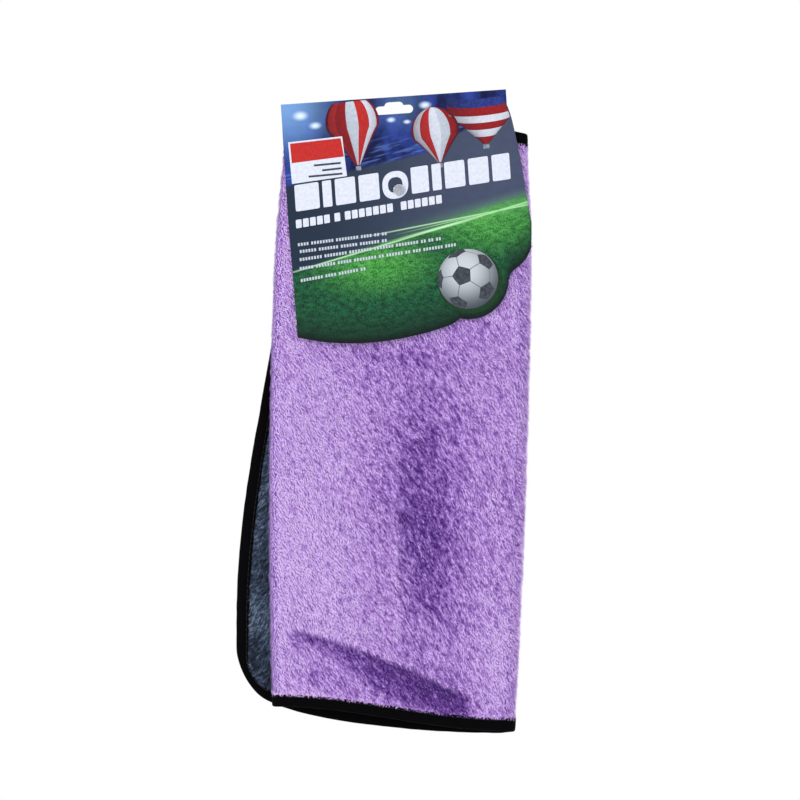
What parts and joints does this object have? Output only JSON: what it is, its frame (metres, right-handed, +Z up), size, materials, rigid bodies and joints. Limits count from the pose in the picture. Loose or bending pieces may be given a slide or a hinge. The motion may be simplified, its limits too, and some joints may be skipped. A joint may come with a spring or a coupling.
{
  "type": "quick dry towel",
  "caption": "Two-sided plush towel with a bound edge, folded in three and riveted into a folded header card with a hang slot.",
  "frame": {"origin": "middle of the card's hang slot, between its two layers", "axes": "+Z up as it hangs, -Y out of the printed front, +X to the viewer's right"},
  "size_m": [0.1487, 0.0175, 0.3234],
  "materials": {
    "purple_plush": "plush",
    "grey_plush": "plush",
    "binding": "woven",
    "thread": "matte",
    "board": "gloss print",
    "clear_plastic": "gloss"
  },
  "bodies": {
    "root": {"card_hanger": "board", "rivet_cap": "clear_plastic"},
    "towel": {"purple_ply": "purple_plush", "grey_ply": "grey_plush", "edge_binding": "binding", "seam_thread_outer": "thread", "seam_thread_inner": "thread"},
    "front_flap": {"card_front_flap": "board"},
    "back_flap": {"card_back_flap": "board"},
    "stud": {"rivet_stud": "clear_plastic"}
  },
  "joints": [
    {"name": "towel_swivel", "type": "hinge", "parent": "root", "child": "towel", "pos_m": [0.0025, 0, -0.0415], "axis": [0, -1, 0], "range_deg": [-3, 3]},
    {"name": "front_flap_lift", "type": "hinge", "parent": "root", "child": "front_flap", "pos_m": [0.00367, -0.007, -0.05388], "axis": [-0.9977, 0, -0.068], "range_deg": [0, 60], "stiffness_Nm_per_rad": 0.004},
    {"name": "back_flap_lift", "type": "hinge", "parent": "root", "child": "back_flap", "pos_m": [0.00367, 0.007, -0.05388], "axis": [0.9977, 0, 0.068], "range_deg": [0, 60], "stiffness_Nm_per_rad": 0.004},
    {"name": "rivet_pull", "type": "slide", "parent": "root", "child": "stud", "axis": [0, -1, 0], "range_m": [0, 0.022]}
  ]
}
